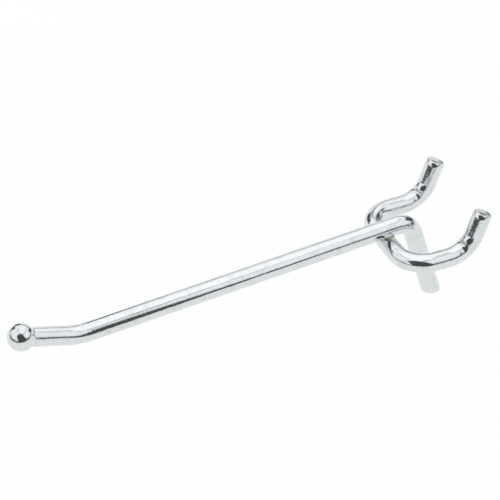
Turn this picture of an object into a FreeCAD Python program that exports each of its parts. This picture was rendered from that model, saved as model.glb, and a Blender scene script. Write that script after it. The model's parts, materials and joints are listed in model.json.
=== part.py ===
"""A straight pegboard hook bent from two lengths of round steel wire.

The arm wire has a headed ball on its raised tip, runs straight back towards the board and turns
down into a leg that stands against the board. The prong wire is a U under the arm: its bow is
resistance welded across the arm's underside, and its two ends pass through neighbouring holes and
turn up behind the board.

Millimetres, +Z up. The origin is on the front face of the board, midway between the prongs, at the
height where their centre lines pass through that face. The arm reaches towards -Y and the prongs
towards +Y.
"""

import FreeCAD, Part
import math
import os

# Wire stock, 3/16 in, the same for both pieces
WIRE_DIA = 4.76

# Prongs, behind the board
PRONG_PITCH = 25.4            # hole spacing of the board
PRONG_DIP_DEG = 15.5          # slope of the prongs' plane, down towards the back
PRONG_RUN = 0.5               # straight prong past the board's front face, before the upturn
UPTURN_RADIUS = 7.8           # on the centre line
UPTURN_DEG = 68.0
PRONG_TIP = 6.1               # straight tip past the upturn
PRONG_END_CHAMFER = 0.3       # broken edge of the sheared end

# Bow of the prong wire, in front of the board
BOW_CORNER_RADIUS = 7.1       # on the centre line

# Arm and leg
REACH = 101.6                 # board face to the centre of the ball
ARM_RISE_DEG = 11.2           # the arm climbs this much towards its tip
TIP_LIFT_DEG = 20.5           # the tip turns up by this much more
TIP_BEND_RADIUS = 18.7        # on the centre line
TIP_LENGTH = 11.4             # end of the tip bend to the centre of the ball
BALL_DIA = 6.85
NECK_RADIUS = 2.0             # fillet where the ball was headed on the wire
BACK_BEND_RADIUS = 4.9        # on the centre line, from the arm down into the leg
LEG_DROP = 19.0               # middle of the leg's end below the origin
LEG_CUT_DEG = 18.0            # the leg is sheared on a slant, longer on the board's side
LEG_END_RADIUS = 1.0          # tumbled edge of the leg's end

# Weld between the arm and the bow
WELD_SETBACK = 2.6            # straight arm between the back bend and the middle of the weld
WELD_SINK = 0.8               # how far the two wires are pressed into each other
WELD_FILLET = 0.5             # radius of the metal squeezed out round the contact

SECTION_TOLERANCE = 1e-4      # a point this near the seam of the two wires lies on it


def in_side_plane(x, direction_deg, length):
    """A step of the given length at x, climbing at direction_deg from +Y towards +Z."""
    angle = math.radians(direction_deg)
    return FreeCAD.Vector(x, length * math.cos(angle), length * math.sin(angle))


def corner_setback(radius, turn_deg):
    """Distance from a corner of the centre lines to where its bend begins."""
    return radius * math.tan(math.radians(turn_deg) / 2)


def bent_path(points, radii):
    """Straight runs through the points, with a tangent arc of its radius at each inner point."""
    edges = []
    start = points[0]
    for before, corner, after, radius in zip(points, points[1:], points[2:], radii):
        back = (before - corner).normalize()
        ahead = (after - corner).normalize()
        half_angle = back.getAngle(ahead) / 2
        setback = radius / math.tan(half_angle)
        inward = (back + ahead).normalize()
        middle = corner + inward * (radius / math.sin(half_angle) - radius)
        edges.append(Part.LineSegment(start, corner + back * setback).toShape())
        edges.append(Part.Arc(corner + back * setback, middle, corner + ahead * setback).toShape())
        start = corner + ahead * setback
    edges.append(Part.LineSegment(start, points[-1]).toShape())
    return Part.Wire(edges)


def round_wire(points, radii):
    """The wire stock carried along the bent path, with flat ends."""
    path = bent_path(points, radii)
    section = Part.makeCircle(WIRE_DIA / 2, points[0], points[1] - points[0])
    return path.makePipe(Part.Face(Part.Wire(section)))


def end_edge(shape, point):
    """The round edge of the flat end whose centre is the given point."""
    return min(
        (edge for edge in shape.Edges if edge.Closed),
        key=lambda edge: (edge.BoundBox.Center - point).Length,
    )


# Places in the plane of symmetry, worked out from the board's face forwards
ARM_FORWARD = in_side_plane(0, 180 - ARM_RISE_DEG, 1)
ARM_UPWARD = in_side_plane(0, 90 - ARM_RISE_DEG, 1)
AXIS_DISTANCE = WIRE_DIA - WELD_SINK
LEG_Y = -WIRE_DIA / 2
BACK_TURN_DEG = 90 - ARM_RISE_DEG
CORNER_TO_WELD = corner_setback(BACK_BEND_RADIUS, BACK_TURN_DEG) + WELD_SETBACK
BOW_Y = LEG_Y + ARM_FORWARD.y * CORNER_TO_WELD - ARM_UPWARD.y * AXIS_DISTANCE
BOW_POINT = FreeCAD.Vector(0, BOW_Y, -BOW_Y * math.tan(math.radians(PRONG_DIP_DEG)))
WELD_POINT = BOW_POINT + ARM_UPWARD * AXIS_DISTANCE
LEG_END = FreeCAD.Vector(0, LEG_Y, -LEG_DROP)


def arm_points():
    """Centre-line corners of the arm wire: ball, tip bend, back bend and the leg before its cut."""
    tip_rise_deg = ARM_RISE_DEG + TIP_LIFT_DEG
    tip_run = TIP_LENGTH + corner_setback(TIP_BEND_RADIUS, TIP_LIFT_DEG)
    tip_step = in_side_plane(0, 180 - tip_rise_deg, tip_run)
    straight = (-REACH - tip_step.y - WELD_POINT.y) / ARM_FORWARD.y
    tip_corner = WELD_POINT + ARM_FORWARD * straight
    back_corner = WELD_POINT - ARM_FORWARD * CORNER_TO_WELD
    leg_end = LEG_END + FreeCAD.Vector(0, 0, -WIRE_DIA)
    return [tip_corner + tip_step, tip_corner, back_corner, leg_end]


def prong_points():
    """Centre-line corners of the prong wire, from one sheared end to the other."""
    upturn_setback = corner_setback(UPTURN_RADIUS, UPTURN_DEG)
    half_pitch = PRONG_PITCH / 2
    upturn_corner = in_side_plane(half_pitch, -PRONG_DIP_DEG, PRONG_RUN + upturn_setback)
    tip_step = in_side_plane(0, UPTURN_DEG - PRONG_DIP_DEG, upturn_setback + PRONG_TIP)
    bow_corner = BOW_POINT + FreeCAD.Vector(half_pitch, 0, 0)
    right_side = [upturn_corner + tip_step, upturn_corner, bow_corner]
    left_side = [FreeCAD.Vector(-point.x, point.y, point.z) for point in reversed(right_side)]
    return right_side + left_side


def leg_offcut():
    """The block that the slanted cut takes off the leg, below a plane through the end's middle."""
    size = 4 * WIRE_DIA
    block = Part.makeBox(size, size, size, FreeCAD.Vector(-size / 2, -size / 2, -size))
    block.rotate(FreeCAD.Vector(0, 0, 0), FreeCAD.Vector(1, 0, 0), -LEG_CUT_DEG)
    block.translate(LEG_END)
    return block


def make_arm():
    """The arm wire before welding: leg cut and its edge rounded, ball headed on the tip."""
    points = arm_points()
    wire = round_wire(points, [TIP_BEND_RADIUS, BACK_BEND_RADIUS]).cut(leg_offcut())
    wire = wire.makeFillet(LEG_END_RADIUS, [end_edge(wire, LEG_END)])
    ball_centre = points[0]
    headed = wire.fuse(Part.makeSphere(BALL_DIA / 2, ball_centre)).removeSplitter()
    neck_distance = math.sqrt((BALL_DIA**2 - WIRE_DIA**2)) / 2
    neck_point = ball_centre + (points[1] - points[0]).normalize() * neck_distance
    return headed.makeFillet(NECK_RADIUS, [end_edge(headed, neck_point)])


def make_prongs():
    """The prong wire: bow, two prongs and their upturned tips with broken edges."""
    points = prong_points()
    bends = [UPTURN_RADIUS, BOW_CORNER_RADIUS, BOW_CORNER_RADIUS, UPTURN_RADIUS]
    wire = round_wire(points, bends)
    ends = [end_edge(wire, points[0]), end_edge(wire, points[-1])]
    return wire.makeChamfer(PRONG_END_CHAMFER, ends)


def make_weld(arm, prongs):
    """The metal squeezed out of the weld: a fillet all round the seam, without the wires."""
    seam = arm.section(prongs)
    joined = arm.fuse(prongs)
    seam_edges = []
    for edge in joined.Edges:
        middle = edge.valueAt((edge.FirstParameter + edge.LastParameter) / 2)
        if seam.distToShape(Part.Vertex(middle))[0] < SECTION_TOLERANCE:
            seam_edges.append(edge)
    return joined.makeFillet(WELD_FILLET, seam_edges).cut(joined)


def export_parts(parts):
    """Writes one file for each piece, named after it."""
    os.makedirs("parts", exist_ok=True)
    for name, shape in parts.items():
        print(name, shape.ShapeType, len(shape.Solids), round(shape.Volume, 2), shape.isValid())
        shape.exportStep(f"parts/{name}.step")


arm = make_arm()
prongs = make_prongs()
export_parts({
    "arm_wire": arm.cut(prongs),
    "prong_wire": prongs,
    "weld_bead": make_weld(arm, prongs),
})
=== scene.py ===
"""Looks of a pegboard hook: two bent wires in bright zinc plate, welded together, on a pale floor.

Every finished piece is a surface of two parameters worked out as whole arrays, and stands for a
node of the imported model. Lengths are in metres, in the model's own frame: the board's face is the
plane y = 0, the arm reaches towards -Y and the prongs go through the board towards +Y.
"""

import json
import math
from collections import namedtuple
from functools import partial

import bpy
import numpy as np
from mathutils import Matrix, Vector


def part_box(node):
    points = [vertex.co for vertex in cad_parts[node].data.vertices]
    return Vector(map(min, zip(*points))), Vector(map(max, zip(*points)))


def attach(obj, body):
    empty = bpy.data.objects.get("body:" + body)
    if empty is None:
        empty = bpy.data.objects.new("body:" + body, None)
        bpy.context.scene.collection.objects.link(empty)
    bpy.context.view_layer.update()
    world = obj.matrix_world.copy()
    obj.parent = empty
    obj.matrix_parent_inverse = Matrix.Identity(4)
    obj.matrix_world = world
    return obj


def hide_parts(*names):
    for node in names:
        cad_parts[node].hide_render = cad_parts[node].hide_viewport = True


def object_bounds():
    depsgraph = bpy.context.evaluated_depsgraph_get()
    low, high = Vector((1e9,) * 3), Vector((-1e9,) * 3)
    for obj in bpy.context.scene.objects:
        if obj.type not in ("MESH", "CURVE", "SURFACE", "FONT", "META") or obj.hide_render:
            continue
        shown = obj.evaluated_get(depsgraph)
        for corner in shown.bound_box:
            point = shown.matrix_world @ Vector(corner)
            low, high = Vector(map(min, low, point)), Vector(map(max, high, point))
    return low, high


bl_info = {
    "name": "Pegboard Hook",
    "version": (1, 0, 0),
    "blender": (4, 5, 0),
    "location": "3D View > Sidebar > Peg Hook",
    "description": "Builds the finished surfaces of a welded wire pegboard hook and its studio",
    "category": "Object",
}

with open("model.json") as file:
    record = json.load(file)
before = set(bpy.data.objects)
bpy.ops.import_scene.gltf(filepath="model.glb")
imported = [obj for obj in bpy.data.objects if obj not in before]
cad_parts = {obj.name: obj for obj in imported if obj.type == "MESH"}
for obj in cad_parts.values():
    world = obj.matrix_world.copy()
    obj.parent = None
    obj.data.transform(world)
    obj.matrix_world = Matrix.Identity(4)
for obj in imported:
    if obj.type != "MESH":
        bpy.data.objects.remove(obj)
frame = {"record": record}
CAD_BOX = [list(corner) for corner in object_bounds()]

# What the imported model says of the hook's places
MOUNTS = {mount["name"]: mount for mount in frame["record"]["mounts"]}
PRONG_MOUNT = MOUNTS["right_prong_tip"]
ARM_DIRECTION = MOUNTS["hanging_arm"]["axis"]
ARM_BOX_LOW, ARM_BOX_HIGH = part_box("arm_wire")

MM = 0.001
X_AXIS = np.array([1.0, 0.0, 0.0])
Y_AXIS = np.array([0.0, 1.0, 0.0])
Z_AXIS = np.array([0.0, 0.0, 1.0])

# How finely the surfaces are cut
AROUND = 128                  # points round a wire
BALL_RINGS, NECK_RINGS = 72, 16
FLANK_RINGS, EDGE_RINGS, FACE_RINGS = 24, 10, 15
ARM_STEP, ARM_BEND_STEP = 1.0 * MM, math.radians(2)
PRONG_STEP, PRONG_BEND_STEP = 0.5 * MM, math.radians(1.2)
ARM_RING_GAP, PRONG_RING_GAP = 0.2 * MM, 0.1 * MM      # least step from an end's rings to the next
SEAT_REACH, SEAT_RINGS = 3 * MM, 81      # finer rings on the arm, to each side of the weld
FLASH_AROUND, FLASH_PROFILE = 192, 28
SHARP_ANGLE = math.radians(35)      # faces that meet at more than this keep a sharp edge
SHORTEST = 1e-9               # keeps a division away from zero

# Marks of the tools, with their places in radii of the wire
FACE_RIDGE = 0.58             # past this a sheared face falls back, on the blade's side
FRACTURE_EDGE = (-0.2, 0.6)   # across the blade, where the ripples of the fracture come in
RIPPLES = ((15, 6), (-8, 17))      # radians per radius, towards the blade's side and across it
BULGE_NARROW, CREASE_NARROW = 5, 2      # powers of a cosine, which keep a mark inside its bend

# Weld flash, in shares of its own width unless a line says otherwise
FLASH_WAVES = ((0.22, 3, 0.6), (0.16, 7, 2.1), (0.10, 13, 0.0))      # height, number and phase
FLASH_ROOT = 0.25             # how far inside the seam it begins
FLASH_OVERLAP = 0.1           # how far it goes into each wire
FLASH_LIMIT = 0.97            # of the wire's radius, from the weld's middle

# Bright zinc plate: how many of a pattern's cells go to a metre, and where its masks begin and end
DRAWN_SCALE = (3200, 3200, 220)      # fine across the wire and long along it
PEEL_SCALE, GRAIN_SCALE, PATCH_SCALE, PIT_SCALE = 1500.0, 2800.0, 420.0, 1000.0
DULL_RANGE, SPECK_RANGE = (0.46, 0.72), (0.54, 0.68)
PIT_EDGE, PIT_CHANCE = (0.20, 0.08), (0.60, 0.75)
BALL_EDGE, NECK_EDGE = (1.005, 1.06), (1.55, 1.25)      # radii of the ball, from its centre
CUT_EDGE = (0.90, 0.82)       # radii of the wire, from its axis
DULL_STAIN = 0.4              # how much of its shade a dull patch takes
DULL_ROUGH, CUT_ROUGH, DRAWN_ROUGH, SPECK_ROUGH, NECK_ROUGH = 0.06, 0.02, 0.02, 0.22, 0.14
PIT_DEPTH = 0.5               # of the plate's relief
PLATE_METAL = 1.0
PLATE_RELIEF, PLATE_BUMP = 0.02 * MM, 0.6

# Plated weld flash
MOTTLE_SCALE = 1500.0
TINT_RANGE, ROUGH_RANGE = (0.36, 0.56), (0.3, 0.7)
FLASH_ROUGH = (0.22, 0.38)    # of the burnt spots and of the tint
FLASH_METAL = 0.6
FLASH_RELIEF, FLASH_BUMP = 0.1 * MM, 0.35

# Studio
PHOTO_SIDE_PX = 500           # the picture is square
SENSOR_MM = 36.0
CAMERA_NEAR, CAMERA_FAR = 0.01, 50.0
WHITE = (1, 1, 1, 1)
WHITE_GLOW = 1.0
FLOOR_POINTS = 180
TENT_MIDDLE = np.mean(CAD_BOX, axis=0)
TENT_COLUMNS, TENT_ROWS = 360, 300
TENT_TOP = 89.5               # degrees above the table
CLOTH_GLOW, ROOF_GLOW, TABLE_GLOW = 1.10, 0.20, 1.0      # the roof's is added to the cloth's
FOLD_GLOW = 0.1               # share of the cloth's that is left in a fold
DARKEST_GLOW = 0.08
HEM_DARKNESS = 0.95           # share of the glow that the gap along the hem takes
OPENING_EDGE, FOLD_EDGE = (0.88, 1.12), (0.75, 1.25)      # soft edges of the tent's ovals


def side_direction(angle):
    """Unit step in the plane of symmetry, at an angle from +Y towards +Z."""
    return np.array([0.0, math.cos(angle), math.sin(angle)])


def unit(vector):
    """The vector at length one."""
    return np.asarray(vector, float) / np.linalg.norm(vector)


def smooth_step(value, low, high):
    """0 below low, 1 above high, and 3 t2 - 2 t3 between them."""
    t = np.clip((value - low) / (high - low), 0, 1)
    return t * t * (3 - 2 * t)


def bump_at(value, middle, width):
    """A bell curve, 1 at the middle."""
    return np.exp(-(((value - middle) / width) ** 2))


# Kinds of setting that come up again and again
LengthProperty = partial(bpy.props.FloatProperty, unit="LENGTH", precision=5)
AngleProperty = partial(bpy.props.FloatProperty, subtype="ANGLE")
ColourProperty = partial(bpy.props.FloatVectorProperty, subtype="COLOR", size=3, min=0, max=1)


class HookSizes(bpy.types.PropertyGroup):
    """Sizes of the two wires and their weld."""

    wire_radius: LengthProperty(
        name="Wire radius", description="Radius of both wires",
        default=PRONG_MOUNT["dims"]["r_mm"] * MM)
    half_pitch: LengthProperty(
        name="Half pitch", description="From the plane of symmetry to a prong",
        default=PRONG_MOUNT["pos_m"][0])
    prong_dip: AngleProperty(
        name="Prong dip", description="Slope of the prongs' plane, down towards the board",
        default=math.radians(15.5))
    prong_run: LengthProperty(
        name="Prong run", description="Straight prong past the board's face", default=0.5 * MM)
    upturn_radius: LengthProperty(
        name="Upturn radius", description="Centre-line radius of the prongs' upturn",
        default=7.8 * MM)
    upturn: AngleProperty(
        name="Upturn", description="Angle that the prongs turn up by", default=math.radians(68.0))
    prong_tip: LengthProperty(
        name="Prong tip", description="Straight tip past the upturn", default=6.1 * MM)
    shear_edge: LengthProperty(
        name="Shear edge", description="Edge radius of a prong's sheared end", default=0.20 * MM)
    shear_reach: LengthProperty(
        name="Shear reach", description="Length of a prong's end that the shearing blade bent",
        default=0.95 * MM)
    shear_roll: LengthProperty(
        name="Shear roll", description="How far the flank rolled inwards where the blade came in",
        default=0.34 * MM)
    shear_lift: LengthProperty(
        name="Shear lift", description="How far the middle of the end face stands out past the tip",
        default=0.28 * MM)
    shear_tilt: LengthProperty(
        name="Shear tilt",
        description="How much further the face stands out where the blade came in",
        default=0.30 * MM)
    shear_droop: LengthProperty(
        name="Shear droop", description="How far the face falls back again at that side's rim",
        default=0.22 * MM)
    shear_fracture: LengthProperty(
        name="Shear fracture", description="Unevenness of the face where the wire broke off",
        default=0.04 * MM, precision=6)
    shear_side: AngleProperty(
        name="Shear side",
        description="Side the blade came from, from the front of a tip towards +X",
        default=math.radians(50))
    bulge: LengthProperty(
        name="Bulge", description="Height of the metal squeezed up inside each upturn",
        default=0.26 * MM)
    bulge_place: LengthProperty(
        name="Bulge place", description="From a prong's end to the bulge", default=8.2 * MM)
    bulge_length: LengthProperty(
        name="Bulge length", description="Reach of the bulge along the wire, to each side",
        default=1.2 * MM)
    crease: LengthProperty(
        name="Crease", description="Depth of the crease across each upturn", default=0.15 * MM)
    crease_place: LengthProperty(
        name="Crease place", description="From a prong's end to the crease", default=10.5 * MM)
    crease_length: LengthProperty(
        name="Crease length", description="Reach of the crease along the wire, to each side",
        default=0.85 * MM)
    bend_side: AngleProperty(
        name="Bend side", description="Turn of bulge and crease from the bend's inside towards +X",
        default=math.radians(22))
    bow_radius: LengthProperty(
        name="Bow radius", description="Centre-line radius of the bow's corners", default=7.1 * MM)
    ball_radius: LengthProperty(
        name="Ball radius", description="Radius of the headed ball", default=ARM_BOX_HIGH.x)
    neck_radius: LengthProperty(
        name="Neck radius", description="Fillet between the ball and the wire", default=1.1 * MM)
    tip_length: LengthProperty(
        name="Tip length", description="From the tip bend to the ball's centre", default=11.4 * MM)
    tip_lift: AngleProperty(
        name="Tip lift", description="Angle that the tip turns up by", default=math.radians(20.5))
    tip_bend_radius: LengthProperty(
        name="Tip bend radius", description="Centre-line radius of the tip bend", default=18.7 * MM)
    back_bend_radius: LengthProperty(
        name="Back bend radius", description="Centre-line radius from the arm into the leg",
        default=4.9 * MM)
    leg_end_radius: LengthProperty(
        name="Leg end radius", description="Edge radius of the leg's end", default=0.65 * MM)
    leg_cut: AngleProperty(
        name="Leg cut", description="Slant of the leg's end, longer on the board's side",
        default=math.radians(18))
    leg_cut_reach: LengthProperty(
        name="Leg cut reach",
        description="Length of the leg over which its rings turn to that slant",
        default=6 * MM)
    weld_setback: LengthProperty(
        name="Weld setback", description="Straight arm between the back bend and the weld",
        default=2.6 * MM)
    weld_sink: LengthProperty(
        name="Weld sink", description="How far the wires are pressed into each other",
        default=0.8 * MM)
    weld_width: LengthProperty(
        name="Weld width", description="Reach of the squeezed-out metal beyond the seam",
        default=0.3 * MM)


class HookFinish(bpy.types.PropertyGroup):
    """Colours and gloss of the plated wires."""

    zinc: ColourProperty(
        name="Zinc", description="Colour that the bright zinc plate mirrors",
        default=(0.705, 0.738, 0.75))
    zinc_shade: ColourProperty(
        name="Zinc shade", description="Colour of the plate's duller patches",
        default=(0.50, 0.53, 0.535))
    cut: ColourProperty(
        name="Cut face", description="Colour of the plate on the wires' cut ends",
        default=(0.56, 0.62, 0.595))
    gloss: bpy.props.FloatProperty(
        name="Gloss", description="Roughness of the brightest plate", subtype="FACTOR",
        min=0, max=1, default=0.035)
    tint: ColourProperty(
        name="Weld tint", description="Greenish passivate that stays in the weld's crevice",
        default=(0.62, 0.66, 0.44))
    soot: ColourProperty(
        name="Weld soot", description="Burnt edge of the weld", default=(0.16, 0.19, 0.12))


class HookStage(bpy.types.PropertyGroup):
    """The camera and the light of the studio."""

    azimuth: AngleProperty(
        name="Azimuth", description="Camera round the vertical, 0 looks along +Y",
        default=math.radians(79.207))
    elevation: AngleProperty(
        name="Elevation", description="Camera above the horizon", default=math.radians(40.433))
    roll: AngleProperty(
        name="Roll", description="Turn of the camera about its own line of sight",
        default=math.radians(-20.647))
    distance: LengthProperty(
        name="Distance", description="From the origin to the camera, along the line of sight",
        default=610.068 * MM)
    origin_right: LengthProperty(
        name="Origin right", description="The origin's place right of the picture's middle",
        default=43.092 * MM)
    origin_up: LengthProperty(
        name="Origin up", description="The origin's place above the picture's middle",
        default=4.649 * MM)
    focal_px: bpy.props.FloatProperty(
        name="Focal length", description="Focal length in pixels of the picture",
        subtype="PIXEL", default=2438.87)
    floor_drop: LengthProperty(
        name="Floor drop", description="Floor below the end of the leg", default=60 * MM)
    floor_shadow: bpy.props.FloatProperty(
        name="Floor shadow", description="How much of the hook's shadow the white floor shows",
        subtype="FACTOR", min=0, max=1, default=0.03)
    floor_radius: LengthProperty(
        name="Floor radius", description="Radius of the round floor", default=1.5)
    floor_colour: ColourProperty(
        name="Floor colour", description="Pale floor", default=(0.93, 0.93, 0.93))
    tent_radius: LengthProperty(
        name="Tent radius", description="Radius of the light tent", default=0.3)


class HookSettings(bpy.types.PropertyGroup):
    """All that a user may change."""

    sizes: bpy.props.PointerProperty(
        name="Sizes", description="Sizes of the two wires and their weld", type=HookSizes)
    finish: bpy.props.PointerProperty(
        name="Finish", description="Colours and gloss of the plated wires", type=HookFinish)
    stage: bpy.props.PointerProperty(
        name="Stage", description="The camera and the light of the studio", type=HookStage)


# One straight run or arc of a centre line, as it is where it begins
Stretch = namedtuple("Stretch", "point direction normal axis curvature length")
ARM_STRETCH = 2               # the straight arm comes after the tip and its bend


class CentreLine:
    """Straight runs through corners, with a tangent arc at each inner corner.

    A stretch keeps its first point, direction and normal, its turning axis, its curvature, which is
    zero on a straight run, and its length. A place on it at arc length s is the first point carried
    along the arc of that curvature, and its direction and normal are the first ones turned about
    the axis.
    """

    def __init__(self, corners, radii, normal):
        self.stretches = []
        start = corners[0]
        for before, corner, after, radius in zip(corners, corners[1:], corners[2:], radii):
            back, ahead = unit(before - corner), unit(after - corner)
            half = math.acos(back @ ahead) / 2
            first = corner + back * radius / math.tan(half)
            normal = self._add(start, -back, normal, X_AXIS, 0.0, np.linalg.norm(first - start))
            axis = unit(np.cross(-back, ahead))
            turn = math.pi - 2 * half
            normal = self._add(first, -back, normal, axis, 1 / radius, turn * radius)
            start = corner + ahead * radius / math.tan(half)
        last = corners[-1]
        self._add(start, unit(last - start), normal, X_AXIS, 0.0, np.linalg.norm(last - start))
        lengths = np.array([stretch.length for stretch in self.stretches])
        self.begins = np.concatenate([[0.0], np.cumsum(lengths)])
        self.length = self.begins[-1]

    def _add(self, point, direction, normal, axis, curvature, length):
        """Keeps a stretch and returns the normal at its far end."""
        self.stretches.append(Stretch(point, direction, normal, axis, curvature, length))
        return turned(normal[None], axis[None], np.array([curvature * length]))[0]

    def at(self, s):
        """Points, directions and normals at arc lengths s; past an end the line runs straight on."""
        last = len(self.stretches) - 1
        index = np.clip(np.searchsorted(self.begins, s, side="right") - 1, 0, last)
        columns = [np.array(column)[index] for column in zip(*self.stretches)]
        point, direction, normal, axis, curvature, _ = columns
        run = s - self.begins[index]
        angle = run * curvature
        inward = np.cross(axis, direction)
        bent = curvature > 0
        radius = 1 / np.where(bent, curvature, 1.0)
        ahead = np.where(bent, radius * np.sin(angle), run)
        aside = np.where(bent, radius * (1 - np.cos(angle)), 0.0)
        place = point + ahead[:, None] * direction + aside[:, None] * inward
        return place, turned(direction, axis, angle), turned(normal, axis, angle)

    def inward(self, s):
        """Unit step from the line at arc length s towards the middle of its bend."""
        axis = self.stretches[int(np.searchsorted(self.begins, s)) - 1].axis
        return np.cross(axis, self.at(np.array([s]))[1][0])


def turned(vectors, axes, angles):
    """Vectors turned about unit axes: v cos a + (k x v) sin a + k (k . v) (1 - cos a)."""
    cos, sin = np.cos(angles)[:, None], np.sin(angles)[:, None]
    along = np.sum(axes * vectors, axis=1)[:, None]
    return vectors * cos + np.cross(axes, vectors) * sin + axes * along * (1 - cos)


def setback(radius, turn):
    """From a corner of two centre lines to where its bend begins."""
    return radius * math.tan(turn / 2)


class HookLayout:
    """Centre lines and the weld's place, worked out from the sizes."""

    def __init__(self, sizes):
        rise = math.atan2(ARM_DIRECTION[2], -ARM_DIRECTION[1])
        self.forward = side_direction(math.pi - rise)
        self.upward = side_direction(math.pi / 2 - rise)
        self.axis_distance = 2 * sizes.wire_radius - sizes.weld_sink
        corner_to_weld = setback(sizes.back_bend_radius, math.pi / 2 - rise) + sizes.weld_setback
        bow_y = (-sizes.wire_radius + self.forward[1] * corner_to_weld
                 - self.upward[1] * self.axis_distance)
        self.bow = np.array([0.0, bow_y, -bow_y * math.tan(sizes.prong_dip)])
        self.weld = self.bow + self.upward * self.axis_distance

        tip_run = sizes.tip_length + setback(sizes.tip_bend_radius, sizes.tip_lift)
        tip_step = side_direction(math.pi - rise - sizes.tip_lift) * tip_run
        ball_y = ARM_BOX_LOW.y + sizes.ball_radius
        weld_to_corner = (ball_y - tip_step[1] - self.weld[1]) / self.forward[1]
        tip_corner = self.weld + self.forward * weld_to_corner
        back_corner = self.weld - self.forward * corner_to_weld
        edge, cut = sizes.leg_end_radius, sizes.leg_cut
        leg_rise = (sizes.wire_radius - edge) * math.tan(cut) - edge / math.cos(cut) + edge
        leg_end = np.array([0.0, -sizes.wire_radius, ARM_BOX_LOW.z + leg_rise])
        self.arm = CentreLine([tip_corner + tip_step, tip_corner, back_corner, leg_end],
                              [sizes.tip_bend_radius, sizes.back_bend_radius], X_AXIS)

        upturn_setback = setback(sizes.upturn_radius, sizes.upturn)
        across = X_AXIS * sizes.half_pitch
        prong_length = sizes.prong_run + upturn_setback
        upturn_corner = across + side_direction(-sizes.prong_dip) * prong_length
        tip_direction = side_direction(sizes.upturn - sizes.prong_dip)
        tip_end = upturn_corner + tip_direction * (upturn_setback + sizes.prong_tip)
        right_side = [tip_end, upturn_corner, self.bow + across]
        left_side = [point * (-1, 1, 1) for point in reversed(right_side)]
        bends = [sizes.upturn_radius, sizes.bow_radius, sizes.bow_radius, sizes.upturn_radius]
        self.prongs = CentreLine(right_side + left_side, bends, X_AXIS)


def ball_profile(ball, wire, neck):
    """Distance from the ball's centre and radius of a headed ball that runs into its wire.

    A sphere up to where it meets the neck, then the neck's own arc, which touches the sphere and
    the wire, down to the wire's radius.
    """
    neck_place = math.sqrt((ball + neck) ** 2 - (wire + neck) ** 2)
    neck_turn = math.atan2(neck_place, wire + neck)
    sphere = np.linspace(0, math.pi / 2 + neck_turn, BALL_RINGS)
    arc = np.linspace(neck_turn, 0, NECK_RINGS)[1:]
    along = np.concatenate([-ball * np.cos(sphere), neck_place - neck * np.sin(arc)])
    radius = np.concatenate([ball * np.sin(sphere), wire + neck - neck * np.cos(arc)])
    return along, radius


def end_profile(wire, edge, reach):
    """Places along from the flat end, and radii, of the last length of a wire, reach long.

    A straight flank, a quarter circle of the edge's radius and a flat face to the middle.
    """
    turn = np.linspace(0, math.pi / 2, EDGE_RINGS)
    flank = np.linspace(-reach, -edge, FLANK_RINGS)[:-1]
    face = np.linspace(wire - edge, 0, FACE_RINGS)[1:]
    along = np.concatenate([flank, -edge * (1 - np.sin(turn)), np.zeros_like(face)])
    rounded = wire - edge * (1 - np.cos(turn))
    return along, np.concatenate([np.full_like(flank, wire), rounded, face])


def bend_mark(line, middle, length, rise, narrow, turn):
    """Shape of a mark inside a bend, which adds rise exp(-((s - s0) / length)2) c^narrow.

    It is added to the radius. s0 is the mark's middle, and c is the cosine between the outward step
    and the way to the bend's middle, turned towards +X, and no less than zero.
    """
    towards = math.cos(turn) * line.inward(middle) + math.sin(turn) * X_AXIS

    def shape(along, radii, ring):
        facing = np.clip(ring @ towards, 0, None) ** narrow
        return rise * bump_at(along, middle, length) * facing, 0.0
    return shape


def slanted_end(end, reach, slant, towards):
    """Shape of a slanted cut: a point slips along by tan(slant) times its height in one direction.

    The slip comes in smoothly over the reach before the end.
    """
    def shape(along, radii, ring):
        height = radii * (ring @ towards)
        return 0.0, math.tan(slant) * height * smooth_step(along, end - reach, end)
    return shape


def sheared_end(end, outward, sizes):
    """Shape that a shearing blade leaves on a wire's end; outward is 1 or -1 along the line.

    f is the square of the share of the reach that is passed, q is the radius over the wire's, and u
    and w are q times the cosines towards the side the blade came from and across it. The flank
    rolls inwards by roll f (q + u) / 2. The face stands out by f (lift + tilt u - droop t), where t
    goes from 0 at the ridge to 1 at the rim, and by ripples, sines of u and w, that grow towards +w.
    """
    front = side_direction(sizes.upturn - sizes.prong_dip + math.pi / 2)
    cos, sin = math.cos(sizes.shear_side), math.sin(sizes.shear_side)
    blade, across = cos * front + sin * X_AXIS, cos * X_AXIS - sin * front

    def shape(along, radii, ring):
        passed = np.clip(1 + (along - end) * outward / sizes.shear_reach, 0, 1) ** 2
        share = radii / sizes.wire_radius
        u, w = share * (ring @ blade), share * (ring @ across)
        fallen = np.clip((u - FACE_RIDGE) / (1 - FACE_RIDGE), 0, None)
        ripples = sum(np.sin(by_u * u + by_w * w) for by_u, by_w in RIPPLES)
        stand = sizes.shear_lift + sizes.shear_tilt * u - sizes.shear_droop * fallen
        stand = stand + sizes.shear_fracture * ripples * smooth_step(w, *FRACTURE_EDGE)
        return -sizes.shear_roll * passed * (share + u) / 2, outward * passed * stand
    return shape


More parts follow.
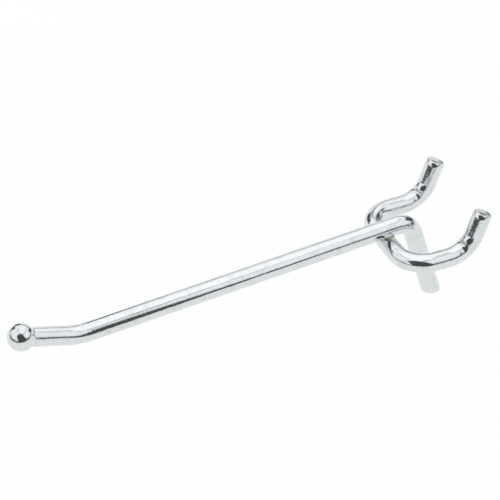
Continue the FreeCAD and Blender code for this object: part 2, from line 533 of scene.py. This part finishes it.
def carry_profile(line, along, radius, shapes):
    """A round profile carried along a centre line: C(s) + t(s, a) D + r(s, a) (N cos a + B sin a).

    Each shape adds to the radius r and to the slip t along the line's direction D. Returns the grid
    of points, and for each point the place on an unbent bar, (r cos a, r sin a, s + t).
    """
    place, direction, normal = line.at(along)
    binormal = np.cross(direction, normal)
    angle = np.linspace(0, 2 * math.pi, AROUND, endpoint=False)
    cos, sin = np.cos(angle), np.sin(angle)
    ring = normal[:, None] * cos[:, None] + binormal[:, None] * sin[:, None]
    base = np.repeat(radius[:, None], AROUND, axis=1)
    radii, slip = base.copy(), np.zeros_like(base)
    for shape in shapes:
        wider, further = shape(along[:, None], base, ring)
        radii, slip = radii + wider, slip + further
    points = place[:, None] + radii[..., None] * ring + slip[..., None] * direction[:, None]
    unbent = np.stack([radii * cos, radii * sin, along[:, None] + slip], axis=-1)
    return points, unbent


def grid_faces(rows, columns, closed_rows):
    """Quads of a grid that closes along its columns, and along its rows too if asked."""
    row = np.arange(rows if closed_rows else rows - 1)[:, None]
    column = np.arange(columns)[None, :]
    next_row, next_column = (row + 1) % rows, (column + 1) % columns
    corners = [row * columns + column, row * columns + next_column,
               next_row * columns + next_column, next_row * columns + column]
    shape = (len(row), columns)
    return np.stack([np.broadcast_to(c, shape) for c in corners], axis=-1).reshape(-1, 4)


def pole_faces(first, pole, columns):
    """Triangles from a ring, which starts at vertex number first, to a pole."""
    column = np.arange(columns)
    following = (column + 1) % columns
    return np.stack([first + column, first + following, np.full(columns, pole)], axis=-1)


def bar_mesh(name, points, unbent):
    """Mesh of a carried profile whose first and last rings have shrunk to poles."""
    rings, columns = points.shape[0] - 2, points.shape[1]
    vertices = np.concatenate([points[1:-1].reshape(-1, 3), points[:1, 0], points[-1:, 0]])
    bar = np.concatenate([unbent[1:-1].reshape(-1, 3), unbent[:1, 0], unbent[-1:, 0]])
    head, tail = rings * columns, rings * columns + 1
    faces = grid_faces(rings, columns, False)[:, ::-1].tolist()
    faces += pole_faces(0, head, columns).tolist()
    faces += pole_faces((rings - 1) * columns, tail, columns)[:, ::-1].tolist()
    return finished_mesh(name, vertices, faces, bar)


def linked_piece(name, vertices, faces):
    """An object at the origin with a new mesh."""
    mesh = bpy.data.meshes.new(name)
    mesh.from_pydata(vertices.tolist(), [], faces)
    piece = bpy.data.objects.new(name, mesh)
    bpy.context.scene.collection.objects.link(piece)
    return piece


def finished_mesh(name, vertices, faces, unbent):
    """A piece with smooth faces, sharp where they break, and its unbent-bar attribute."""
    piece = linked_piece(name, vertices, faces)
    mesh = piece.data
    mesh.polygons.foreach_set("use_smooth", np.ones(len(mesh.polygons), bool))
    mesh.set_sharp_from_angle(angle=SHARP_ANGLE)
    attribute = mesh.attributes.new("unbent", "FLOAT_VECTOR", "POINT")
    attribute.data.foreach_set("vector", unbent.astype(np.float32).ravel())
    mesh.update()
    return piece


def even_stations(line, spacing, bend_step):
    """Arc lengths along a centre line: even steps on straight runs, finer ones round the bends."""
    runs = []
    for begin, stretch in zip(line.begins, line.stretches):
        step = bend_step / stretch.curvature if stretch.curvature else spacing
        count = max(2, math.ceil(stretch.length / step))
        runs.append(begin + np.arange(count) * stretch.length / count)
    return np.concatenate(runs)


def pressed_on(points, through, direction, radius):
    """Points inside a bar of the given radius, moved straight out to its surface."""
    away = points - through
    away = away - (away @ direction)[..., None] * direction
    distance = np.linalg.norm(away, axis=-1, keepdims=True)
    push = np.clip(radius - distance, 0, None)
    return points + away / np.maximum(distance, SHORTEST) * push


def weld_flash_surface(layout, sizes):
    """Metal squeezed out round the seam of the two crossing wires, as a closed ring.

    Seen from the weld's middle at the angle a, the arm's underside stands at
    h - sqrt(r2 - (p cos a)2) over the bow's axis and the bow's top at sqrt(r2 - (p sin a)2), where
    p is the distance from the middle. They meet at the seam, p2 = 4 c / (1 + sqrt(1 + 4 c k2 / h2))
    with c = r2 - h2 / 4 and k = cos 2a. The flash runs from a little inside the seam to its uneven
    lip, and its profile is an oval in the wedge between the two wires.
    """
    wire, height, width = sizes.wire_radius, layout.axis_distance, sizes.weld_width
    angle = np.linspace(0, 2 * math.pi, FLASH_AROUND, endpoint=False)
    cos, sin = np.cos(angle), np.sin(angle)
    depth = wire**2 - height**2 / 4
    seam = np.sqrt(4 * depth / (1 + np.sqrt(1 + 4 * depth * (np.cos(2 * angle) / height) ** 2)))
    waves = (share * np.sin(number * angle + phase) for share, number, phase in FLASH_WAVES)
    lip = np.minimum(seam + width * sum(waves, 1.0), FLASH_LIMIT * wire)
    root = seam - FLASH_ROOT * width
    arm_side = height - np.sqrt(wire**2 - (lip * cos) ** 2)
    bow_side = np.sqrt(wire**2 - (lip * sin) ** 2)
    turn = np.linspace(0, 2 * math.pi, FLASH_PROFILE, endpoint=False)
    out = (root + lip)[:, None] / 2 + ((lip - root) / 2)[:, None] * np.cos(turn)
    level = (arm_side + bow_side)[:, None] / 2
    half_gap = ((arm_side - bow_side) / 2 + FLASH_OVERLAP * width)[:, None]
    z = level + half_gap * np.sin(turn)
    outward = cos[:, None, None] * X_AXIS + sin[:, None, None] * layout.forward
    points = layout.bow + out[..., None] * outward + z[..., None] * layout.upward
    unbent = np.stack([out * cos[:, None], out * sin[:, None], z], axis=-1)
    return points, unbent


class NodeSheet:
    """Short ways to add and join shader nodes."""

    def __init__(self, tree):
        self.tree = tree
        self.tree.nodes.clear()

    def node(self, kind, inputs=None, **settings):
        """A node with its settings and inputs; an input is a value or another node's output."""
        made = self.tree.nodes.new(kind)
        for key, value in settings.items():
            setattr(made, key, value)
        for key, value in (inputs or {}).items():
            if isinstance(value, bpy.types.NodeSocket):
                self.tree.links.new(value, made.inputs[key])
            else:
                made.inputs[key].default_value = value
        return made

    def math(self, operation, first, second=0.0, clamp=False):
        """The result of one sum."""
        made = self.node("ShaderNodeMath", {0: first, 1: second}, operation=operation,
                         use_clamp=clamp)
        return made.outputs[0]

    def vector_math(self, operation, output, first, second=(0, 0, 0)):
        """One output of a sum of vectors."""
        made = self.node("ShaderNodeVectorMath", {0: first, 1: second}, operation=operation)
        return made.outputs[output]

    def noise(self, vector, scale, detail, roughness=0.5):
        """Height of a cloudy pattern, from 0 to 1."""
        made = self.node("ShaderNodeTexNoise", {"Vector": vector, "Scale": scale, "Detail": detail,
                                                "Roughness": roughness})
        return made.outputs["Fac"]

    def ramp(self, value, low, high, start=0.0, end=1.0):
        """A smooth step of value between low and high, from start to end."""
        made = self.node("ShaderNodeMapRange", {"Value": value, "From Min": low, "From Max": high,
                                                "To Min": start, "To Max": end},
                         interpolation_type="SMOOTHSTEP")
        return made.outputs["Result"]

    def mix_colour(self, factor, first, second):
        """Colour between first and second."""
        made = self.node("ShaderNodeMix", data_type="RGBA")
        for key, value in (("Factor", factor), ("A", first), ("B", second)):
            socket = next(s for s in made.inputs if s.name == key and s.enabled)
            if isinstance(value, bpy.types.NodeSocket):
                self.tree.links.new(value, socket)
            else:
                socket.default_value = value
        return next(s for s in made.outputs if s.enabled)

    def plated_metal(self, colour, metallic, rough, relief, bump, depth):
        """Ends the sheet with metal of that colour and roughness, over a relief of that depth."""
        raised = self.node("ShaderNodeBump", {"Height": relief, "Strength": bump, "Distance": depth})
        shader = self.node("ShaderNodeBsdfPrincipled", {
            "Base Color": colour, "Metallic": metallic, "Roughness": rough,
            "Normal": raised.outputs["Normal"]})
        self.node("ShaderNodeOutputMaterial", {"Surface": shader.outputs["BSDF"]})


def new_material(name):
    """A material and its empty node sheet."""
    material = bpy.data.materials.new(name)
    material.use_nodes = True
    return material, NodeSheet(material.node_tree)


def opaque(colour):
    """A colour with its alpha."""
    return (*colour, 1.0)


def zinc_plate(name, settings):
    """Bright zinc plate on drawn wire: fine lines along the wire, orange peel and scattered pits.

    It has dull specks and patches, a duller neck where a die held the wire while its ball was
    headed, and a duller, greener plate on the cut ends.
    """
    finish, sizes = settings.finish, settings.sizes
    material, sheet = new_material(name)
    bar = sheet.node("ShaderNodeAttribute", attribute_name="unbent").outputs["Vector"]
    place = sheet.node("ShaderNodeTexCoord").outputs["Object"]
    lines = sheet.node("ShaderNodeMapping", {"Vector": bar, "Scale": DRAWN_SCALE}).outputs["Vector"]
    drawn = sheet.noise(lines, scale=1.0, detail=3.0)
    peel = sheet.noise(bar, PEEL_SCALE, detail=2.0)
    patches = sheet.noise(place, PATCH_SCALE, detail=6.0, roughness=0.65)
    dull = sheet.ramp(patches, *DULL_RANGE)
    specks = sheet.ramp(sheet.noise(bar, GRAIN_SCALE, detail=2.0), *SPECK_RANGE)
    pitting = sheet.node("ShaderNodeTexVoronoi", {"Vector": place, "Scale": PIT_SCALE}).outputs
    chance = sheet.node("ShaderNodeSeparateColor", {"Color": pitting["Color"]}).outputs["Red"]
    pits = sheet.math("MULTIPLY", sheet.ramp(pitting["Distance"], *PIT_EDGE),
                      sheet.ramp(chance, *PIT_CHANCE))

    ball = HookLayout(sizes).arm.stretches[0].point
    away = sheet.vector_math("DISTANCE", "Value", place, ball)
    away = sheet.math("DIVIDE", away, sizes.ball_radius)
    off_ball = sheet.ramp(away, *BALL_EDGE)
    clamped = sheet.math("MULTIPLY", off_ball, sheet.ramp(away, *NECK_EDGE))
    across = sheet.vector_math("MULTIPLY", "Vector", bar, (1, 1, 0))
    share = sheet.vector_math("LENGTH", "Value", across)
    share = sheet.math("DIVIDE", share, sizes.wire_radius)
    cut = sheet.math("MULTIPLY", sheet.ramp(share, *CUT_EDGE), off_ball)

    stained = sheet.math("MAXIMUM", sheet.math("MULTIPLY", dull, DULL_STAIN), pits)
    colour = sheet.mix_colour(stained, opaque(finish.zinc), opaque(finish.zinc_shade))
    colour = sheet.mix_colour(cut, colour, opaque(finish.cut))
    rough = finish.gloss
    for mask, rougher in ((dull, DULL_ROUGH), (cut, CUT_ROUGH), (drawn, DRAWN_ROUGH),
                          (specks, SPECK_ROUGH), (clamped, NECK_ROUGH)):
        rough = sheet.math("ADD", rough, sheet.math("MULTIPLY", mask, rougher))
    relief = sheet.math("ADD", drawn, peel)
    relief = sheet.math("SUBTRACT", relief, sheet.math("MULTIPLY", pits, PIT_DEPTH))
    sheet.plated_metal(colour, PLATE_METAL, rough, relief, PLATE_BUMP, PLATE_RELIEF)
    return material


def weld_flash_plate(name, settings):
    """Plated weld flash: mottled between burnt spots and a grey-green tint."""
    finish = settings.finish
    material, sheet = new_material(name)
    place = sheet.node("ShaderNodeTexCoord").outputs["Object"]
    mottle = sheet.noise(place, MOTTLE_SCALE, detail=4.0)
    tinted = sheet.ramp(mottle, *TINT_RANGE)
    colour = sheet.mix_colour(tinted, opaque(finish.soot), opaque(finish.tint))
    rough = sheet.ramp(mottle, *ROUGH_RANGE, *FLASH_ROUGH)
    sheet.plated_metal(colour, FLASH_METAL, rough, mottle, FLASH_BUMP, FLASH_RELIEF)
    return material


def shared_material(name, make, settings):
    """The material of that name, made the first time it is asked for."""
    return bpy.data.materials.get(name) or make(name, settings)


def stand_for(piece, node, material):
    """The piece takes its finish, rides on the hook and is shown in place of its node."""
    piece.data.materials.append(material)
    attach(piece, "root")
    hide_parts(node)


class PEGHOOK_OT_bend_arm(bpy.types.Operator):
    """Arm wire: headed ball, raised tip, straight arm, back bend and leg"""

    bl_idname = "peg_hook.bend_arm"
    bl_label = "Bend arm wire"

    def execute(self, context):
        settings = context.scene.peg_hook
        sizes = settings.sizes
        layout = HookLayout(sizes)
        line, wire = layout.arm, sizes.wire_radius
        head_along, head_radius = ball_profile(sizes.ball_radius, wire, sizes.neck_radius)
        end_along, end_radius = end_profile(wire, sizes.leg_end_radius, sizes.leg_cut_reach)
        before_weld = np.linalg.norm(layout.weld - line.stretches[ARM_STRETCH].point)
        weld_place = before_weld + line.begins[ARM_STRETCH]
        run = even_stations(line, spacing=ARM_STEP, bend_step=ARM_BEND_STEP)
        seat = weld_place + np.linspace(-SEAT_REACH, SEAT_REACH, SEAT_RINGS)
        run = np.concatenate([run[np.abs(run - weld_place) > SEAT_REACH], seat])
        first = head_along[-1] + ARM_RING_GAP
        last = line.length + end_along[0] - ARM_RING_GAP
        run = np.sort(run[(run > first) & (run < last)])
        along = np.concatenate([head_along, run, line.length + end_along])
        radius = np.concatenate([head_radius, np.full(len(run), wire), end_radius])
        cut = slanted_end(line.length, sizes.leg_cut_reach, sizes.leg_cut, Y_AXIS)
        points, unbent = carry_profile(line, along, radius, [cut])
        points = pressed_on(points, layout.bow, X_AXIS, wire)
        piece = bar_mesh("bent_arm", points, unbent)
        stand_for(piece, "arm_wire",
                  shared_material("bright_zinc_plate", zinc_plate, settings))
        return {"FINISHED"}


class PEGHOOK_OT_bend_prongs(bpy.types.Operator):
    """Prong wire: bow, two prongs and their upturned sheared ends"""

    bl_idname = "peg_hook.bend_prongs"
    bl_label = "Bend prong wire"

    def execute(self, context):
        settings = context.scene.peg_hook
        sizes = settings.sizes
        line, wire = HookLayout(sizes).prongs, sizes.wire_radius
        end_along, end_radius = end_profile(wire, sizes.shear_edge, sizes.shear_reach)
        run = even_stations(line, spacing=PRONG_STEP, bend_step=PRONG_BEND_STEP)
        end_length = PRONG_RING_GAP - end_along[0]
        run = run[(run > end_length) & (run < line.length - end_length)]
        along = np.concatenate([-end_along[::-1], run, line.length + end_along])
        radius = np.concatenate([end_radius[::-1], np.full(len(run), wire), end_radius])
        shapes = [sheared_end(0.0, -1, sizes), sheared_end(line.length, 1, sizes)]
        marks = ((sizes.bulge_place, sizes.bulge_length, sizes.bulge, BULGE_NARROW),
                 (sizes.crease_place, sizes.crease_length, -sizes.crease, CREASE_NARROW))
        for place, length, rise, narrow in marks:
            for middle in (place, line.length - place):
                shapes.append(bend_mark(line, middle, length, rise, narrow, sizes.bend_side))
        piece = bar_mesh("bent_prongs", *carry_profile(line, along, radius, shapes))
        stand_for(piece, "prong_wire",
                  shared_material("bright_zinc_plate", zinc_plate, settings))
        return {"FINISHED"}


class PEGHOOK_OT_lay_weld(bpy.types.Operator):
    """Weld flash: metal squeezed out where the bow crosses the arm"""

    bl_idname = "peg_hook.lay_weld"
    bl_label = "Lay weld flash"

    def execute(self, context):
        settings = context.scene.peg_hook
        points, unbent = weld_flash_surface(HookLayout(settings.sizes), settings.sizes)
        faces = grid_faces(FLASH_AROUND, FLASH_PROFILE, True).tolist()
        piece = finished_mesh("weld_flash", points.reshape(-1, 3), faces, unbent.reshape(-1, 3))
        stand_for(piece, "weld_bead",
                  shared_material("tinted_weld_flash", weld_flash_plate, settings))
        return {"FINISHED"}


def photo_camera(stage):
    """Camera at the picture's angle: axes from azimuth, elevation and roll, then moved so that the
    origin falls at its place in the picture."""
    right = np.array([math.cos(stage.azimuth), math.sin(stage.azimuth), 0.0])
    level_back = np.array([math.sin(stage.azimuth), -math.cos(stage.azimuth), 0.0])
    back = level_back * math.cos(stage.elevation) + Z_AXIS * math.sin(stage.elevation)
    up = np.cross(back, right)
    cos, sin = math.cos(stage.roll), math.sin(stage.roll)
    right, up = cos * right + sin * up, cos * up - sin * right
    eye = back * stage.distance - right * stage.origin_right - up * stage.origin_up
    data = bpy.data.cameras.new("photo_camera")
    data.sensor_width = SENSOR_MM
    data.lens = stage.focal_px / PHOTO_SIDE_PX * SENSOR_MM
    data.clip_start, data.clip_end = CAMERA_NEAR, CAMERA_FAR
    camera = bpy.data.objects.new("photo_camera", data)
    axes = np.eye(4)
    axes[:3, 0], axes[:3, 1], axes[:3, 2], axes[:3, 3] = right, up, back, eye
    camera.matrix_world = Matrix(axes.tolist())
    bpy.context.scene.collection.objects.link(camera)
    bpy.context.scene.camera = camera
    return back


def stage_piece(name, vertices, faces):
    """A piece of the studio, which is no part of the hook, and the node sheet of its material."""
    piece = linked_piece(name, vertices, faces)
    material, sheet = new_material(name)
    piece.data.materials.append(material)
    return piece, sheet


def pale_floor(stage):
    """Round floor below the leg's end: points of a circle at one level.

    Its own white glow, shown to the camera and in reflections, is mixed with its lit colour, which
    keeps the hook's shadow.
    """
    angle = np.linspace(0, 2 * math.pi, FLOOR_POINTS, endpoint=False)
    level = ARM_BOX_LOW.z - stage.floor_drop
    ring = np.stack([stage.floor_radius * np.cos(angle), stage.floor_radius * np.sin(angle),
                     np.full_like(angle, level)], axis=-1)
    _, sheet = stage_piece("pale_floor", ring, [list(range(FLOOR_POINTS))])
    path = sheet.node("ShaderNodeLightPath").outputs
    seen = sheet.math("ADD", path["Is Camera Ray"], path["Is Glossy Ray"])
    seen = sheet.math("ADD", seen, path["Is Transmission Ray"], clamp=True)
    lit = sheet.node("ShaderNodeBsdfDiffuse", {"Color": opaque(stage.floor_colour)}).outputs["BSDF"]
    white = sheet.node("ShaderNodeEmission", {"Color": WHITE, "Strength": WHITE_GLOW})
    share = sheet.math("MULTIPLY", seen, 1 - stage.floor_shadow)
    mixed = sheet.node("ShaderNodeMixShader", {0: share, 1: lit, 2: white.outputs["Emission"]})
    sheet.node("ShaderNodeOutputMaterial", {"Surface": mixed.outputs["Shader"]})


def bumps(value, *rows):
    """Bell curves added up; a row is the height, middle and width of one."""
    return sum(height * bump_at(value, middle, width) for height, middle, width in rows)


def steps(value, *rows):
    """Smooth steps added up; a row is the height, beginning and end of one."""
    return sum(height * smooth_step(value, low, high) for height, low, high in rows)


def oval(azimuth, elevation, middle, half_width, height, half_height):
    """0 in the middle of an oval on the tent and 1 on its edge."""
    return np.hypot((azimuth - middle) / half_width, (elevation - height) / half_height)


def hem_gap(azimuth, elevation):
    """Height of the cloth's hem, and how dark the gap along it is.

    The hem stands lowest towards the camera and rises to the back in a cosine, with bumps. The gap
    is a bell curve over the elevation about it, and is lighter at the left and at the back.
    """
    around, turn = np.abs(azimuth), np.radians(azimuth)
    hem = 10.5 - 12.5 * np.cos(turn) + 1.8 * np.sin(turn)
    hem = hem + bumps(azimuth, (6, 42, 14), (-2.5, -80, 18)) + bumps(around, (8, 180, 12))
    width = 6.5 + bumps(azimuth, (2, 48, 20), (-2, -8, 22))
    light_left, light_back = bumps(azimuth, (0.65, -105, 14)), bumps(around, (0.32, 180, 15))
    dark = HEM_DARKNESS * (1 - light_left) * (1 - light_back)
    return hem, dark * bump_at(elevation, hem, width)


def roof_seam(azimuth, elevation):
    """What the seam round the roof takes from the glow, a bell curve over the elevation about it.

    It rises at both sides of the camera and sinks towards the back. It is widest and darkest at the
    camera's right, and fades out just left of the camera.
    """
    height = 58 + steps(np.abs(azimuth), (5, 20, 45)) + bumps(azimuth, (3, 29, 10))
    height = height + steps(azimuth, (-2, 60, 95), (-16, 105, 150)) + steps(-azimuth, (-14, 120, 155))
    width = 3.6 + bumps(azimuth, (2.4, 27, 10))
    taken = 0.34 + bumps(azimuth, (0.45, 29, 14), (0.14, 115, 15)) + steps(-azimuth, (0.10, 60, 90))
    faded = bump_at(azimuth, -8, 26)
    return taken * (1 - faded) * bump_at(elevation, height, width)


def camera_opening(azimuth, elevation):
    """What the camera's opening leaves of the glow: a tall oval that leans left, on a low wide one.

    Both stop at the level of the table, which keeps its own glow.
    """
    lean = np.clip(elevation - 12, 0, 30)
    tall = oval(azimuth, elevation, 4 - 0.5 * lean, 31 + 0.35 * lean, 14, 46)
    wide = oval(azimuth, elevation, 6, 34, 8, 16)
    outside = smooth_step(np.minimum(tall, wide), *OPENING_EDGE)
    return 1 - (1 - outside) * smooth_step(elevation, -6, -1)


def cloth_folds(azimuth, elevation):
    """What the folds behind the hook leave of the glow: soft dark ovals, the last one on a slant."""
    slant = 11 + 0.6 * (147 - azimuth)
    kept = 1.0
    for place in ((-153, 12, 19, 15), (-122, 10, 25, 14), (130, 24, slant, 12)):
        outside = smooth_step(oval(azimuth, elevation, *place), *FOLD_EDGE)
        kept = kept * (FOLD_GLOW + (1 - FOLD_GLOW) * outside)
    return kept


def tent_glow(azimuth, elevation):
    """How bright the tent is, at degrees round from the camera, to its right, and above the table.

    White cloth, brightest overhead and at the back, over a table that is a little dimmer. It is
    dark along its hem, at the opening that the camera looks through and in its folds, and a seam
    runs round its roof.
    """
    hem, gap = hem_gap(azimuth, elevation)
    roof = np.maximum(smooth_step(elevation, 58, 70), smooth_step(np.abs(azimuth), 110, 150))
    glow = np.where(elevation > hem, CLOTH_GLOW + ROOF_GLOW * roof, TABLE_GLOW)
    glow = glow * camera_opening(azimuth, elevation) * cloth_folds(azimuth, elevation) * (1 - gap)
    return np.maximum(glow - roof_seam(azimuth, elevation), DARKEST_GLOW)


def light_tent(stage, dip, camera_back):
    """White tent round the hook: a sphere about the table's own upward direction, lit by itself.

    A point is R (cos e cos a T + cos e sin a S + sin e U), with U up from the table, T along it
    towards the camera and S to the camera's right. The table is parallel to the prongs' plane.
    """
    upward = side_direction(math.pi / 2 - dip)
    toward = unit(camera_back - (camera_back @ upward) * upward)
    rightward = np.cross(upward, toward)
    azimuth = np.linspace(-180, 180, TENT_COLUMNS, endpoint=False)[None, :]
    elevation = np.linspace(-TENT_TOP, TENT_TOP, TENT_ROWS)[:, None]
    a, e = np.radians(azimuth)[..., None], np.radians(elevation)[..., None]
    along_table = np.cos(a) * toward + np.sin(a) * rightward
    points = TENT_MIDDLE + stage.tent_radius * (np.cos(e) * along_table + np.sin(e) * upward)
    faces = grid_faces(TENT_ROWS, TENT_COLUMNS, False)
    tent, sheet = stage_piece("light_tent", points.reshape(-1, 3), faces.tolist())
    glow = tent.data.attributes.new("glow", "FLOAT", "POINT")
    glow.data.foreach_set("value", tent_glow(azimuth, elevation).astype(np.float32).ravel())
    strength = sheet.node("ShaderNodeAttribute", attribute_name="glow").outputs["Fac"]
    shader = sheet.node("ShaderNodeEmission", {"Color": WHITE, "Strength": strength})
    sheet.node("ShaderNodeOutputMaterial", {"Surface": shader.outputs["Emission"]})
    tent.active_material.cycles.emission_sampling = "NONE"
    tent.visible_camera = False


def white_backdrop():
    """White world beyond the floor."""
    world = bpy.data.worlds.new("white_backdrop")
    bpy.context.scene.world = world
    world.use_nodes = True
    sheet = NodeSheet(world.node_tree)
    background = sheet.node("ShaderNodeBackground", {"Color": WHITE, "Strength": WHITE_GLOW})
    sheet.node("ShaderNodeOutputWorld", {"Surface": background.outputs["Background"]})


class PEGHOOK_OT_set_stage(bpy.types.Operator):
    """Studio: camera at the picture's angle, pale floor and soft light"""

    bl_idname = "peg_hook.set_stage"
    bl_label = "Set stage"

    def execute(self, context):
        settings = context.scene.peg_hook
        stage = settings.stage
        camera_back = photo_camera(stage)
        pale_floor(stage)
        light_tent(stage, settings.sizes.prong_dip, camera_back)
        white_backdrop()
        context.scene.view_settings.view_transform = "Standard"
        return {"FINISHED"}


class PEGHOOK_PT_sidebar(bpy.types.Panel):
    """Lists the hook's pieces and their settings"""

    bl_idname = "PEGHOOK_PT_sidebar"
    bl_label = "Peg Hook"
    bl_space_type = "VIEW_3D"
    bl_region_type = "UI"
    bl_category = "Peg Hook"

    def draw(self, context):
        settings = context.scene.peg_hook
        for operator in OPERATORS:
            self.layout.operator(operator.bl_idname)
        for group in (settings.sizes, settings.finish, settings.stage):
            box = self.layout.box()
            for name in group.__annotations__:
                box.prop(group, name)


OPERATORS = (PEGHOOK_OT_bend_arm, PEGHOOK_OT_bend_prongs, PEGHOOK_OT_lay_weld, PEGHOOK_OT_set_stage)
CLASSES = (HookSizes, HookFinish, HookStage, HookSettings, *OPERATORS, PEGHOOK_PT_sidebar)


def register():
    """Adds the classes and the scene's settings."""
    for cls in CLASSES:
        bpy.utils.register_class(cls)
    bpy.types.Scene.peg_hook = bpy.props.PointerProperty(
        name="Peg hook", description="All that a user may change", type=HookSettings)


def unregister():
    """Takes them out again."""
    del bpy.types.Scene.peg_hook
    for cls in reversed(CLASSES):
        bpy.utils.unregister_class(cls)


def main():
    """Builds the pieces and the stage."""
    register()
    bpy.ops.peg_hook.bend_arm()
    bpy.ops.peg_hook.bend_prongs()
    bpy.ops.peg_hook.lay_weld()
    bpy.ops.peg_hook.set_stage()


if __name__ == "__main__":
    main()
